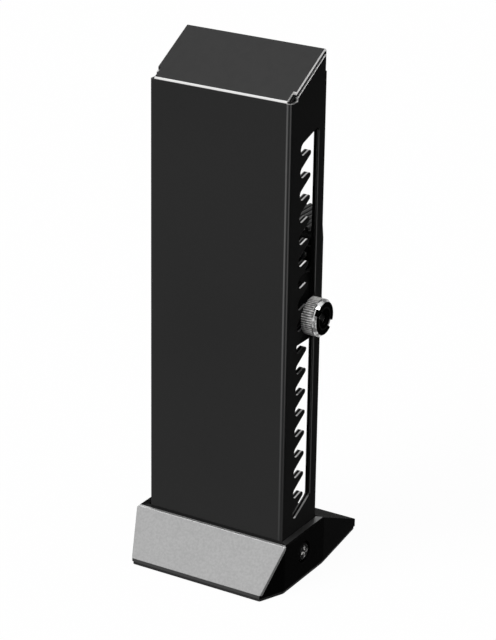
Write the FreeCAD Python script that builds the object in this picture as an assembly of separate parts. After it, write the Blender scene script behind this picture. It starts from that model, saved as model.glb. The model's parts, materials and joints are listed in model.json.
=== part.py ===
"""Graphics card support bracket: a folded steel column on a weighted base.

A height-adjustable arm rides inside the column. A cross rod passes through toothed slots in
both side walls, and a thumb knob on its end clamps the arm at one of the notches.
Frame: +Z up, the front face looks along -Y, origin on the floor under the column's middle.
"""
import FreeCAD, Part
import math
import os

V = FreeCAD.Vector

# Column: folded cover over a folded inner frame, both open at the back
COLUMN_WIDTH = 60.0
COLUMN_DEPTH = 25.2
FRONT_HEIGHT = 193.7
TOP_SLOPE = 30.0
COVER_SHEET = 1.0
COVER_INNER_BEND = 0.2
FRAME_SHEET = 1.3
FRAME_INNER_BEND = 0.9
FRAME_REAR_SETBACK = 0.3
FRAME_TOP_DROP = 1.2

# Sloped top: the cover's flange, with relief notches in front and a lip turned down behind,
# and the frame's own flange under it
FLANGE_SETBACK = 0.7
FLANGE_GAP = 0.8
RELIEF_WIDTH = 2.0
RELIEF_DEPTH = 4.7
RELIEF_DROP = 0.75
FRAME_FLANGE_SETBACK = 0.4
FRAME_FLANGE_GAP = 0.5
LIP_HEIGHT = 7.1
LIP_OVERHANG = 0.6
LIP_INNER_BEND = 0.2
LIP_CLEARANCE = 0.3
WALL_STEP_DROP = 2.0

# Toothed slots: seats for the cross rod, open towards a clear lane at the rear
PITCH = 8.58
TOOTH_COUNT = 17
SEAT_RADIUS = 2.2
SEAT_INSET = 9.85
FIRST_SEAT_DROP = 20.0
FLOOR_SLOPE = 14.0
ROOF_SLOPE = 31.0
TIP_RADIUS = 1.03
SLOT_REAR_INSET = 4.3
SLOT_TOP_RISE = 2.1
SLOT_TOP_SLOPE = 18.0
SLOT_END_RADIUS = 1.7
SLOT_FOOT_SLOPE = 28.0

# Base housing: an eight-sided foot, lowest at its front lip and its rear edge
RIM_HEIGHT = 20.0
RIM_FRONT = 3.7
RIM_REAR = 1.2
RIM_SIDE = 3.5
FRONT_RUN = 10.7
REAR_RUN = 33.6
FRONT_TAPER = 4.5
REAR_TAPER = 4.0
FRONT_LIP_HEIGHT = 2.6
REAR_LIP_HEIGHT = 4.1
BASE_CORNER_RADIUS = 1.0
RIM_CHAMFER = 0.6
HOUSING_WALL = 2.0
COLUMN_FIT = 0.3
COLLAR_WALL = 1.7

# Pieces in and on the base
FACE_PLATE = 1.0
SOLE_THICKNESS = 1.3
SOLE_SETBACK = 0.4
WEIGHT_THICKNESS = 3.0
WEIGHT_CLEARANCE = 0.6
STACK_CLEARANCE = 0.3
BOSS_RADIUS = 3.0
MAGNET_RADIUS = 5.0
MAGNET_FIT = 0.1
MAGNET_SPREAD = 11.0
FRONT_MAGNET_BEHIND = 6.6
REAR_MAGNET_BEHIND = 13.4

# Countersunk screws that hold the weight plate, as distances from the column's faces
PLATE_SCREW_SPREAD = 20.0
FRONT_SCREW_AHEAD = 5.6
REAR_SCREW_BEHIND = 21.4
PLATE_SCREW_RADIUS = 1.45
PLATE_SCREW_HEAD = 2.8
PLATE_SCREW_HEAD_HEIGHT = 1.6
PLATE_SCREW_LENGTH = 6.6
SCREW_FIT = 0.05

# Side screws that hold the column in the base
SIDE_SCREW_RADIUS = 2.0
SIDE_SCREW_INSET = 11.0
SIDE_SCREW_HEIGHT = 11.75
SIDE_SCREW_HEAD = 3.8
SIDE_SCREW_HEAD_HEIGHT = 1.9
RECESS_RADIUS = 4.4
RECESS_DEPTH = 1.8
HOLE_FIT = 0.15
NUT_ACROSS_FLATS = 7.0
NUT_THICKNESS = 3.2
DRIVE_LENGTH = 4.4
DRIVE_WIDTH = 0.9
DRIVE_DEPTH = 1.1

# Arm: a carriage inside the column and a tapered shelf behind it
ARM_NOTCH = 9
ARM_SHEET = 1.5
CARRIAGE_GAP = 0.3
CARRIAGE_INNER_BEND = 1.0
CARRIAGE_FRONT_MARGIN = 3.0
CHEEK_BELOW_SEAT = 9.5
CHEEK_ABOVE_SEAT = 18.0
CHEEK_CORNER = 5.0
WEB_ABOVE_SEAT = 25.8
SHELF_GAP = 0.3
SHELF_SETBACK = 0.9
SHELF_ABOVE_SEAT = 29.5
SHELF_REACH = 27.2
SHELF_INNER_BEND = 0.5
SHELF_TIP_HALF = 14.0
SHELF_TIP_RADIUS = 4.0
BACK_PLATE_RADIUS = 3.0
RIVET_RADIUS = 1.6
RIVET_HEAD_RADIUS = 2.6
RIVET_HEAD_HEIGHT = 0.9
RIVET_INSET = 5.3
UPPER_RIVET_DROP = 3.6
LOWER_RIVET_RISE = 5.0

# Ribbed rubber pad on the shelf
PAD_SETBACK = 1.2
PAD_BASE = 1.0
RIB_HEIGHT = 1.5
RIB_WIDTH = 1.4
RIB_PITCH = 2.4
RIB_CROWN_SHARE = 0.28

# Cross rod, washers and thumb knob
ROD_RADIUS = 1.95
ROD_CLEARANCE = 0.25
LANE_CLEARANCE = 0.3
WASHER_RADIUS = 4.5
WASHER_THICKNESS = 0.8
WASHER_GAP = 0.15
ROD_HEAD_RADIUS = 4.2
ROD_HEAD_HEIGHT = 2.0
KNOB_WALL_GAP = 0.15
KNOB_GAP = 0.05
KNOB_RADIUS = 7.3
KNOB_LENGTH = 6.15
KNOB_BORE_FIT = 0.05
KNOB_RECESS_FIT = 0.3
KNURL_COUNT = 48
KNURL_DEPTH = 0.35
KNOB_RIM = 0.5
KNOB_CHAMFER = 0.9
KNOB_CHAMFER_LENGTH = 1.2
KNOB_SLOT_WIDTH = 2.8
KNOB_SLOT_DEPTH = 1.2
KNOB_SLOT_ANGLE = -35.5

# Places worked out from the sizes above
HALF = COLUMN_WIDTH / 2
FRONT = -COLUMN_DEPTH / 2
REAR = COLUMN_DEPTH / 2
SLOPE = math.radians(TOP_SLOPE)
FRAME_HALF = HALF - COVER_SHEET
FRAME_INNER = FRAME_HALF - FRAME_SHEET
RELIEF_Z = FRONT_HEIGHT - RELIEF_DROP
LIP_REAR = REAR + LIP_OVERHANG
TOP_HEIGHT = FRONT_HEIGHT + (LIP_REAR - FRONT) * math.tan(SLOPE)
LIP_Z = TOP_HEIGHT - LIP_HEIGHT
COLUMN_FOOT = SOLE_THICKNESS + WEIGHT_THICKNESS + STACK_CLEARANCE
SEAT_Y = FRONT + SEAT_INSET
SLOT_REAR = REAR - SLOT_REAR_INSET
FIRST_SEAT_Z = FRONT_HEIGHT - FIRST_SEAT_DROP
ARM_SEAT_Z = FIRST_SEAT_Z - PITCH * (ARM_NOTCH - 1)
BASE_HALF = HALF + RIM_SIDE
RIM_FRONT_Y = FRONT - RIM_FRONT
RIM_REAR_Y = REAR + RIM_REAR
BASE_FRONT_Y = RIM_FRONT_Y - FRONT_RUN
BASE_REAR_Y = RIM_REAR_Y + REAR_RUN
SIDE_SCREW_Y = FRONT + SIDE_SCREW_INSET
SCREW_SEAT_X = BASE_HALF - RECESS_DEPTH
PLATE_Y = LIP_REAR + SHELF_GAP
SHELF_HALF = HALF - SHELF_SETBACK
SHELF_TOP = ARM_SEAT_Z + SHELF_ABOVE_SEAT
CARRIAGE_HALF = FRAME_INNER - CARRIAGE_GAP
CARRIAGE_BEND = CARRIAGE_INNER_BEND + ARM_SHEET
SHELF_BEND = SHELF_INNER_BEND + ARM_SHEET
COVER_BEND = COVER_INNER_BEND + COVER_SHEET
FRAME_BEND = FRAME_INNER_BEND + FRAME_SHEET
STEP_REAR = LIP_REAR - COVER_SHEET - LIP_CLEARANCE
PAD_Z = SHELF_TOP
WASHER_OUTER_X = HALF + WASHER_GAP + WASHER_THICKNESS
KNOB_X = HALF + KNOB_WALL_GAP
BEYOND = 10.0

PLANES = {
    "xy": (V(1, 0, 0), V(0, 1, 0), V(0, 0, 1)),
    "xz": (V(1, 0, 0), V(0, 0, 1), V(0, 1, 0)),
    "yz": (V(0, 1, 0), V(0, 0, 1), V(1, 0, 0)),
}


def rounded_corner(last, spot, following, radius):
    """Corner of an outline as its start, its end and the arc between them, if it has one."""
    if radius == 0:
        return spot, spot, None
    back = (last - spot).normalize()
    ahead = (following - spot).normalize()
    half = back.getAngle(ahead) / 2
    reach = radius / math.tan(half)
    start = spot + back * reach
    end = spot + ahead * reach
    middle = spot + (back + ahead).normalize() * (radius / math.sin(half) - radius)
    return start, end, Part.Arc(start, middle, end).toShape()


def face_through(pieces):
    """Flat face whose outline runs through the given corners and arcs, joined by lines."""
    edges = []
    for (start, end, arc), (next_start, _, _) in zip(pieces, pieces[1:] + pieces[:1]):
        if arc:
            edges.append(arc)
        if end.distanceToPoint(next_start) > 1e-6:
            edges.append(Part.makeLine(end, next_start))
    return Part.Face(Part.Wire(edges))


def flat_face(plane, corners):
    """Face with corners (a, b) or (a, b, radius) in the named plane."""
    first, second, _ = PLANES[plane]
    spots = [first * corner[0] + second * corner[1] for corner in corners]
    radii = [corner[2] if len(corner) > 2 else 0 for corner in corners]
    following = spots[1:] + spots[:1]
    pieces = []
    for i, spot in enumerate(spots):
        pieces.append(rounded_corner(spots[i - 1], spot, following[i], radii[i]))
    return face_through(pieces)


def prism(plane, corners, low, high):
    """Outline in the named plane, stretched across it from low to high."""
    normal = PLANES[plane][2]
    face = flat_face(plane, corners)
    face.translate(normal * low)
    return face.extrude(normal * (high - low))


def turned(corners, y=0, z=0):
    """Round piece about a line along X; corners are (x, radius)."""
    solid = flat_face("xz", corners).revolve(V(0, 0, 0), V(1, 0, 0), 360)
    solid.translate(V(0, y, z))
    return solid


def turned_upright(corners, x=0, y=0):
    """Round piece about a vertical line; corners are (radius, z)."""
    solid = flat_face("xz", corners).revolve(V(0, 0, 0), V(0, 0, 1), 360)
    solid.translate(V(x, y, 0))
    return solid


def cross_pin(radius, x_low, x_high, y, z):
    """Plain round bar along X."""
    return Part.makeCylinder(radius, x_high - x_low, V(x_low, y, z), V(1, 0, 0))


def mirrored(shape):
    """The same piece on the other side of the column."""
    return shape.mirror(V(0, 0, 0), V(1, 0, 0))


def shrink(corners, inset):
    """Convex outline, counter-clockwise, with every side moved inwards."""
    sides = []
    for (a, b), (c, d) in zip(corners, corners[1:] + corners[:1]):
        length = math.hypot(c - a, d - b)
        normal = ((b - d) / length, (c - a) / length)
        sides.append((normal, normal[0] * a + normal[1] * b + inset))
    moved = []
    for (n, p), (m, q) in zip(sides[-1:] + sides[:-1], sides):
        cross = n[0] * m[1] - n[1] * m[0]
        moved.append(((p * m[1] - q * n[1]) / cross, (n[0] * q - m[0] * p) / cross))
    return moved


def slope_height(y, depth):
    """Height of a line that runs below the sloped top at the given depth square to it."""
    return FRONT_HEIGHT + (y - FRONT) * math.tan(SLOPE) - depth / math.cos(SLOPE)


def channel(half, closed_y, open_y, sheet, inner_bend, low, high):
    """Sheet folded into an upright U with its web at closed_y."""
    bend = inner_bend + sheet
    outer = [(-half, open_y), (-half, closed_y, bend), (half, closed_y, bend), (half, open_y)]
    inner_half = half - sheet
    web = closed_y + math.copysign(sheet, open_y - closed_y)
    inner = [(inner_half, open_y), (inner_half, web, inner_bend)]
    inner += [(-inner_half, web, inner_bend), (-inner_half, open_y)]
    return prism("xy", outer + inner, low, high)


def on_circle(y, z, radius, degrees):
    """Point of an upright circle that faces X."""
    angle = math.radians(degrees)
    return V(0, y + radius * math.cos(angle), z + radius * math.sin(angle))


def arc_piece(y, z, radius, start, end):
    """Arc about (y, z) between two angles, as a piece of an outline."""
    points = [on_circle(y, z, radius, angle) for angle in (start, (start + end) / 2, end)]
    return points[0], points[2], Part.Arc(*points).toShape()


def tip_centre():
    """Centre of a tooth's tip, from the seat above it: the tip touches both its flanks."""
    floor = math.radians(FLOOR_SLOPE)
    roof = math.radians(ROOF_SLOPE)
    offset = SEAT_RADIUS + TIP_RADIUS
    spread = offset * (1 + math.cos(roof) / math.cos(floor)) - PITCH * math.cos(roof)
    back = spread / (math.tan(floor) * math.cos(roof) - math.sin(roof))
    return back, back * math.tan(floor) - offset / math.cos(floor)


TIP_BACK, TIP_RISE = tip_centre()
LANE_Y = SEAT_Y + TIP_BACK + TIP_RADIUS + LANE_CLEARANCE + ROD_RADIUS
ROD_Y = LANE_Y
ROD_Z = ARM_SEAT_Z + (LANE_Y - SEAT_Y) * math.tan(math.radians(FLOOR_SLOPE))


def slot_teeth():
    """Seats and tooth tips down the slot's front side."""
    pieces = []
    floor_angle = 270 + FLOOR_SLOPE
    for count in range(TOOTH_COUNT):
        z = FIRST_SEAT_Z - PITCH * count
        start = 90 + ROOF_SLOPE if count else 180
        pieces.append(arc_piece(SEAT_Y, z, SEAT_RADIUS, start, floor_angle))
        tip = (SEAT_Y + TIP_BACK, z + TIP_RISE, TIP_RADIUS)
        pieces.append(arc_piece(*tip, 90 + FLOOR_SLOPE, ROOF_SLOPE - 90))
    last_z = FIRST_SEAT_Z - PITCH * TOOTH_COUNT
    last = (SEAT_Y, last_z, SEAT_RADIUS)
    pieces.append(arc_piece(*last, 90 + ROOF_SLOPE, 270 + SLOT_FOOT_SLOPE))
    return pieces


def slot_cutter():
    """The toothed slot, through both side walls."""
    front = SEAT_Y - SEAT_RADIUS
    top_front = V(0, front, FIRST_SEAT_Z + SLOT_TOP_RISE)
    run = (SLOT_REAR - front) * math.tan(math.radians(SLOT_TOP_SLOPE))
    top_rear = V(0, SLOT_REAR, top_front.z + run)
    foot = math.radians(SLOT_FOOT_SLOPE)
    last_z = FIRST_SEAT_Z - PITCH * TOOTH_COUNT
    foot_z = last_z + (SLOT_REAR - SEAT_Y) * math.tan(foot) - SEAT_RADIUS / math.cos(foot)
    foot_rear = V(0, SLOT_REAR, foot_z)
    pieces = slot_teeth()
    last_end = pieces[-1][1]
    pieces.append(rounded_corner(last_end, foot_rear, top_rear, SLOT_END_RADIUS))
    pieces.append(rounded_corner(foot_rear, top_rear, top_front, SLOT_END_RADIUS))
    top_radius = SLOT_TOP_RISE * math.tan(math.radians(45 + SLOT_TOP_SLOPE / 2))
    pieces.append(rounded_corner(top_rear, top_front, pieces[0][0], top_radius))
    face = face_through(pieces)
    face.translate(V(-HALF - BEYOND, 0, 0))
    return face.extrude(V(2 * (HALF + BEYOND), 0, 0))


def side_screw_holes():
    """Clearance through both side walls for the screws in the base."""
    reach = HALF + BEYOND
    radius = SIDE_SCREW_RADIUS + HOLE_FIT
    return cross_pin(radius, -reach, reach, SIDE_SCREW_Y, SIDE_SCREW_HEIGHT)


def wall_profile(drop, rear, relief_z):
    """Side view of a side wall, whose slanted top lies at the given depth below the slope."""
    step_front = FRONT + RELIEF_DEPTH
    shoulder = LIP_Z - WALL_STEP_DROP
    corners = [(FRONT - BEYOND, COLUMN_FOOT), (rear, COLUMN_FOOT), (rear, shoulder)]
    corners += [(STEP_REAR, shoulder), (STEP_REAR, slope_height(STEP_REAR, drop))]
    corners += [(step_front, slope_height(step_front, drop)), (step_front, relief_z)]
    corners += [(FRONT - BEYOND, relief_z)]
    return prism("yz", corners, -HALF - BEYOND, HALF + BEYOND)


def cap():
    """Sloped flange with its front bend and the lip turned down at the back."""
    inner_front = FRONT + COVER_SHEET
    inner_rear = LIP_REAR - COVER_SHEET
    rear_bend = LIP_INNER_BEND + COVER_SHEET
    corners = [(FRONT, RELIEF_Z), (FRONT, FRONT_HEIGHT, COVER_BEND)]
    corners += [(LIP_REAR, TOP_HEIGHT, rear_bend), (LIP_REAR, LIP_Z), (inner_rear, LIP_Z)]
    corners += [(inner_rear, slope_height(inner_rear, COVER_SHEET), LIP_INNER_BEND)]
    corners += [(inner_front, slope_height(inner_front, COVER_SHEET), COVER_INNER_BEND)]
    corners += [(inner_front, RELIEF_Z)]
    half = HALF - FLANGE_SETBACK
    strip = prism("yz", corners, -half, half)
    relief = Part.makeBox(BEYOND, BEYOND + RELIEF_DEPTH, LIP_HEIGHT + BEYOND)
    relief.translate(V(HALF - RELIEF_WIDTH, FRONT - BEYOND, RELIEF_Z - 1))
    return strip.cut([relief, mirrored(relief)])


def column_cover():
    """Outer sheet: front, both side walls and the sloped top in one folded piece."""
    sheet = channel(HALF, FRONT, REAR, COVER_SHEET, COVER_INNER_BEND, COLUMN_FOOT, TOP_HEIGHT)
    walls = sheet.common(wall_profile(COVER_SHEET + FLANGE_GAP, REAR, RELIEF_Z))
    cover = walls.fuse(cap()).removeSplitter()
    return cover.cut([slot_cutter(), side_screw_holes()])


def frame_flange(front, depth, low):
    """The frame's sloped flange, with its front bend, at the given depth below the slope."""
    inner = front + FRAME_SHEET
    under = depth + FRAME_SHEET
    corners = [(front, low), (front, slope_height(front, depth), FRAME_BEND)]
    corners += [(STEP_REAR, slope_height(STEP_REAR, depth))]
    corners += [(STEP_REAR, slope_height(STEP_REAR, under))]
    corners += [(inner, slope_height(inner, under), FRAME_INNER_BEND), (inner, low)]
    half = FRAME_HALF - FRAME_FLANGE_SETBACK
    return prism("yz", corners, -half, half)


def column_frame():
    """Inner sheet that backs the front, the toothed side walls and the sloped top."""
    front = FRONT + COVER_SHEET
    rear = REAR - FRAME_REAR_SETBACK
    sheet = channel(FRAME_HALF, front, rear, FRAME_SHEET, FRAME_INNER_BEND,
                    COLUMN_FOOT, TOP_HEIGHT)
    drop = COVER_SHEET + FLANGE_GAP + FRAME_TOP_DROP
    depth = COVER_SHEET + FRAME_FLANGE_GAP
    bend_foot = slope_height(front, depth) - FRAME_BEND
    walls = sheet.common(wall_profile(drop, rear, bend_foot))
    frame = walls.fuse(frame_flange(front, depth, bend_foot)).removeSplitter()
    return frame.cut([slot_cutter(), side_screw_holes()])


def base_plan():
    """The base from above, counter-clockwise from its front left corner."""
    front = BASE_HALF - FRONT_TAPER
    rear = BASE_HALF - REAR_TAPER
    right = [(front, BASE_FRONT_Y), (BASE_HALF, RIM_FRONT_Y)]
    right += [(BASE_HALF, RIM_REAR_Y), (rear, BASE_REAR_Y)]
    left = [(-x, y) for x, y in reversed(right)]
    return left[-1:] + right + left[:-1]


def base_side(floor=0.0):
    """The base from the right, counter-clockwise from its front toe."""
    corners = [(BASE_FRONT_Y, floor), (BASE_REAR_Y, floor), (BASE_REAR_Y, REAR_LIP_HEIGHT)]
    corners += [(RIM_REAR_Y, RIM_HEIGHT), (RIM_FRONT_Y, RIM_HEIGHT)]
    corners += [(BASE_FRONT_Y, FRONT_LIP_HEIGHT)]
    return corners


def base_outside():
    """Outer form of the base above its rubber sole."""
    plan = [(x, y, BASE_CORNER_RADIUS) for x, y in base_plan()]
    block = prism("xy", plan, SOLE_THICKNESS, RIM_HEIGHT)
    side = prism("yz", base_side(), -BASE_HALF - BEYOND, BASE_HALF + BEYOND)
    shoulder = RIM_HEIGHT - RIM_CHAMFER
    edge = BASE_HALF - RIM_CHAMFER
    end_view = [(-BASE_HALF, 0), (BASE_HALF, 0), (BASE_HALF, shoulder), (edge, RIM_HEIGHT)]
    end_view += [(-edge, RIM_HEIGHT), (-BASE_HALF, shoulder)]
    return block.common(side).common(prism("xz", end_view, BASE_FRONT_Y, BASE_REAR_Y))


def base_inside(inset):
    """Space inside the base, open to the sole."""
    block = prism("xy", shrink(base_plan(), inset), SOLE_THICKNESS, RIM_HEIGHT)
    profile = shrink(base_side(-BEYOND), inset)
    return block.common(prism("yz", profile, -BASE_HALF, BASE_HALF))


def face_plate_slab():
    """Thin slab along the sloped front of the base, wider than the base."""
    slant = math.hypot(FRONT_RUN, RIM_HEIGHT - FRONT_LIP_HEIGHT)
    depth = FACE_PLATE * slant / (RIM_HEIGHT - FRONT_LIP_HEIGHT)
    corners = [(BASE_FRONT_Y, FRONT_LIP_HEIGHT), (BASE_FRONT_Y + depth, FRONT_LIP_HEIGHT)]
    corners += [(RIM_FRONT_Y + depth, RIM_HEIGHT), (RIM_FRONT_Y, RIM_HEIGHT)]
    return prism("yz", corners, -BASE_HALF - BEYOND, BASE_HALF + BEYOND)


def column_socket(margin, low):
    """Block as large as the column with a margin, from low to above the rim."""
    corners = [(-HALF - margin, FRONT - margin), (HALF + margin, FRONT - margin)]
    corners += [(HALF + margin, REAR + margin), (-HALF - margin, REAR + margin)]
    return prism("xy", corners, low, RIM_HEIGHT + BEYOND)


def plate_screw_places():
    """Centres of the four screws that hold the weight plate."""
    rows = (FRONT - FRONT_SCREW_AHEAD, REAR + REAR_SCREW_BEHIND)
    return [(side * PLATE_SCREW_SPREAD, y) for y in rows for side in (-1, 1)]


def plate_screw_form(x, y, fit):
    """Countersunk screw, or the hole for it when a fit is added."""
    low = SOLE_THICKNESS
    shank = PLATE_SCREW_RADIUS + fit
    head = PLATE_SCREW_HEAD + fit
    neck = low + PLATE_SCREW_HEAD_HEIGHT
    tip = low + PLATE_SCREW_LENGTH + fit
    corners = [(0, low), (head, low), (shank, neck), (shank, tip), (0, tip)]
    return turned_upright(corners, x, y)


def screw_bosses():
    """Pillars for the plate screws, from the weight plate up to the roof."""
    low = SOLE_THICKNESS + WEIGHT_THICKNESS
    return [Part.makeCylinder(BOSS_RADIUS, RIM_HEIGHT, V(x, y, low))
            for x, y in plate_screw_places()]


def base_housing():
    """Moulded shell of the base, with a collar for the column and bosses for screws."""
    outside = base_outside()
    inner = base_inside(HOUSING_WALL + FACE_PLATE)
    collar = column_socket(COLUMN_FIT + COLLAR_WALL, COLUMN_FOOT)
    hollow = inner.cut([collar] + screw_bosses())
    housing = outside.cut([face_plate_slab(), hollow, column_socket(COLUMN_FIT, 0)])
    holes = [plate_screw_form(x, y, SCREW_FIT) for x, y in plate_screw_places()]
    recess = cross_pin(RECESS_RADIUS, SCREW_SEAT_X, BASE_HALF + BEYOND,
                       SIDE_SCREW_Y, SIDE_SCREW_HEIGHT)
    return housing.cut(holes + [side_screw_holes(), recess, mirrored(recess)])


def base_front_plate():
    """Brushed metal plate that covers the sloped front."""
    return base_outside().common(face_plate_slab())


def magnet_places():
    """Centres of the four disc magnets, by name."""
    front = FRONT + FRONT_MAGNET_BEHIND
    rear = REAR + REAR_MAGNET_BEHIND
    return {
        "magnet_front_left": (-MAGNET_SPREAD, front),
        "magnet_front_right": (MAGNET_SPREAD, front),
        "magnet_rear_left": (-MAGNET_SPREAD, rear),
        "magnet_rear_right": (MAGNET_SPREAD, rear),
    }


def disc(x, y, radius):
    """Upright disc as thick as the weight plate."""
    return Part.makeCylinder(radius, WEIGHT_THICKNESS, V(x, y, SOLE_THICKNESS))


def base_weight_plate():
    """Steel plate in the base, with holes for the magnets and the screws."""
    room = base_inside(HOUSING_WALL + FACE_PLATE + WEIGHT_CLEARANCE)
    top = SOLE_THICKNESS + WEIGHT_THICKNESS
    slice_at_top = room.slice(V(0, 0, 1), top)[0]
    plate = Part.Face(slice_at_top).extrude(V(0, 0, -WEIGHT_THICKNESS))
    holes = [plate_screw_form(x, y, SCREW_FIT) for x, y in plate_screw_places()]
    holes += [disc(x, y, MAGNET_RADIUS + MAGNET_FIT) for x, y in magnet_places().values()]
    return plate.cut(holes)


def base_plate_screws():
    """The four countersunk screws."""
    return Part.makeCompound([plate_screw_form(x, y, 0) for x, y in plate_screw_places()])


def rubber_sole():
    """Non-slip sheet under the whole base."""
    corners = [(x, y, BASE_CORNER_RADIUS) for x, y in shrink(base_plan(), SOLE_SETBACK)]
    return prism("xy", corners, 0, SOLE_THICKNESS)


def drive_recess(face_x, y, z, outward):
    """Cross recess in the face of a screw head at face_x."""
    low = min(face_x, face_x - outward * DRIVE_DEPTH)
    upright = Part.makeBox(DRIVE_DEPTH, DRIVE_WIDTH, DRIVE_LENGTH)
    upright.translate(V(low, y - DRIVE_WIDTH / 2, z - DRIVE_LENGTH / 2))
    level = Part.makeBox(DRIVE_DEPTH, DRIVE_LENGTH, DRIVE_WIDTH)
    level.translate(V(low, y - DRIVE_LENGTH / 2, z - DRIVE_WIDTH / 2))
    return upright.fuse(level)


def side_screw_right():
    """Pan-head screw through the base and the column wall into its nut."""
    seat = SCREW_SEAT_X
    face = seat + SIDE_SCREW_HEAD_HEIGHT
    end = FRAME_INNER - NUT_THICKNESS
    corners = [(end, 0), (end, SIDE_SCREW_RADIUS), (seat, SIDE_SCREW_RADIUS)]
    slant = SIDE_SCREW_HEAD_HEIGHT / 2
    corners += [(seat, SIDE_SCREW_HEAD), (face - slant, SIDE_SCREW_HEAD)]
    corners += [(face, SIDE_SCREW_HEAD - slant), (face, 0)]
    screw = turned(corners, SIDE_SCREW_Y, SIDE_SCREW_HEIGHT)
    return screw.cut(drive_recess(face, SIDE_SCREW_Y, SIDE_SCREW_HEIGHT, 1))


def side_nut_right():
    """Hexagonal nut against the inside of the frame."""
    corner_radius = NUT_ACROSS_FLATS / math.sqrt(3)
    low = FRAME_INNER - NUT_THICKNESS
    corners = [(SIDE_SCREW_Y + corner_radius * math.cos(math.radians(60 * step)),
                SIDE_SCREW_HEIGHT + corner_radius * math.sin(math.radians(60 * step)))
               for step in range(6)]
    nut = prism("yz", corners, low, FRAME_INNER)
    bore = SIDE_SCREW_RADIUS + SCREW_FIT
    return nut.cut(cross_pin(bore, low, FRAME_INNER, SIDE_SCREW_Y, SIDE_SCREW_HEIGHT))


def rod_path():
    """Slanted holes in which the cross rod moves between the lane and the seat."""
    radius = ROD_RADIUS + ROD_CLEARANCE
    floor_angle = 270 + FLOOR_SLOPE
    pieces = [arc_piece(SEAT_Y, ARM_SEAT_Z, radius, floor_angle - 180, floor_angle),
              arc_piece(ROD_Y, ROD_Z, radius, floor_angle - 360, floor_angle - 180)]
    face = face_through(pieces)
    face.translate(V(-HALF, 0, 0))
    return face.extrude(V(COLUMN_WIDTH, 0, 0))


def carriage_profile():
    """Side view of the carriage: cheeks with rounded corners and a taller web."""
    front = SEAT_Y - SEAT_RADIUS - CARRIAGE_FRONT_MARGIN
    low = ARM_SEAT_Z - CHEEK_BELOW_SEAT
    cheek_top = ARM_SEAT_Z + CHEEK_ABOVE_SEAT
    web_top = ARM_SEAT_Z + WEB_ABOVE_SEAT
    corner = PLATE_Y - CARRIAGE_BEND
    corners = [(front, low, CHEEK_CORNER), (PLATE_Y, low), (PLATE_Y, web_top)]
    corners += [(corner, web_top), (corner, cheek_top), (front, cheek_top, CHEEK_CORNER)]
    return prism("yz", corners, -HALF, HALF)


def rivet_places():
    """Centres of the rivets between the carriage and the shelf."""
    spread = CARRIAGE_HALF - RIVET_INSET
    heights = (ARM_SEAT_Z - CHEEK_BELOW_SEAT + LOWER_RIVET_RISE,
               ARM_SEAT_Z + WEB_ABOVE_SEAT - UPPER_RIVET_DROP)
    return [(side * spread, z) for z in heights for side in (-1, 1)]


def rivet_holes():
    """Holes for the rivets, through the web and the back plate."""
    start = PLATE_Y - ARM_SHEET - BEYOND
    length = 2 * (ARM_SHEET + BEYOND)
    radius = RIVET_RADIUS + SCREW_FIT
    return [Part.makeCylinder(radius, length, V(x, start, z), V(0, 1, 0))
            for x, z in rivet_places()]


def arm_carriage():
    """Folded U that rides inside the column and carries the shelf."""
    front = SEAT_Y - SEAT_RADIUS - CARRIAGE_FRONT_MARGIN
    low = ARM_SEAT_Z - CHEEK_BELOW_SEAT
    web_top = ARM_SEAT_Z + WEB_ABOVE_SEAT
    cheek_top = ARM_SEAT_Z + CHEEK_ABOVE_SEAT
    sheet = channel(CARRIAGE_HALF, PLATE_Y, front, ARM_SHEET, CARRIAGE_INNER_BEND, low, web_top)
    body = sheet.common(carriage_profile())
    trim = Part.makeBox(BEYOND, 2 * BEYOND, web_top - cheek_top)
    trim.translate(V(CARRIAGE_HALF - CARRIAGE_BEND, PLATE_Y - BEYOND, cheek_top))
    return body.cut([trim, mirrored(trim), rod_path()] + rivet_holes())


def shelf_plan(setback):
    """The shelf from above, tapered towards its free end."""
    start = PLATE_Y + ARM_SHEET
    tip = PLATE_Y + SHELF_REACH - setback
    radius = SHELF_TIP_RADIUS - setback
    wide = SHELF_HALF - setback
    narrow = SHELF_TIP_HALF - setback
    return [(-wide, start), (wide, start), (narrow, tip, radius), (-narrow, tip, radius)]


def arm_shelf():
    """Back plate and tapered shelf in one folded piece."""
    low = ARM_SEAT_Z - CHEEK_BELOW_SEAT
    inner = PLATE_Y + ARM_SHEET
    under = SHELF_TOP - ARM_SHEET
    tip = PLATE_Y + SHELF_REACH
    tight = SHELF_INNER_BEND
    corners = [(PLATE_Y, low), (inner, low), (inner, under, tight), (tip, under)]
    corners += [(tip, SHELF_TOP), (PLATE_Y, SHELF_TOP, SHELF_BEND)]
    half = SHELF_HALF
    folded = prism("yz", corners, -half, half)
    back = [(-half, low, BACK_PLATE_RADIUS), (half, low, BACK_PLATE_RADIUS)]
    back += [(half, SHELF_TOP), (-half, SHELF_TOP)]
    plate_room = prism("xz", back, PLATE_Y, inner)
    shelf_room = prism("xy", shelf_plan(0), low, SHELF_TOP)
    return folded.common(plate_room.fuse(shelf_room)).cut(rivet_holes()).removeSplitter()


def rivet(x, z):
    """Rivet along Y, flush in front and with a flat head behind."""
    web = PLATE_Y - ARM_SHEET
    back = PLATE_Y + ARM_SHEET
    top = back + RIVET_HEAD_HEIGHT
    corners = [(0, web), (RIVET_RADIUS, web), (RIVET_RADIUS, back), (RIVET_HEAD_RADIUS, back)]
    corners += [(RIVET_HEAD_RADIUS, top), (0, top)]
    solid = flat_face("xy", corners).revolve(V(0, 0, 0), V(0, 1, 0), 360)
    solid.translate(V(x, 0, z))
    return solid


def arm_rivets():
    """The four rivets."""
    return Part.makeCompound([rivet(x, z) for x, z in rivet_places()])


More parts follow.
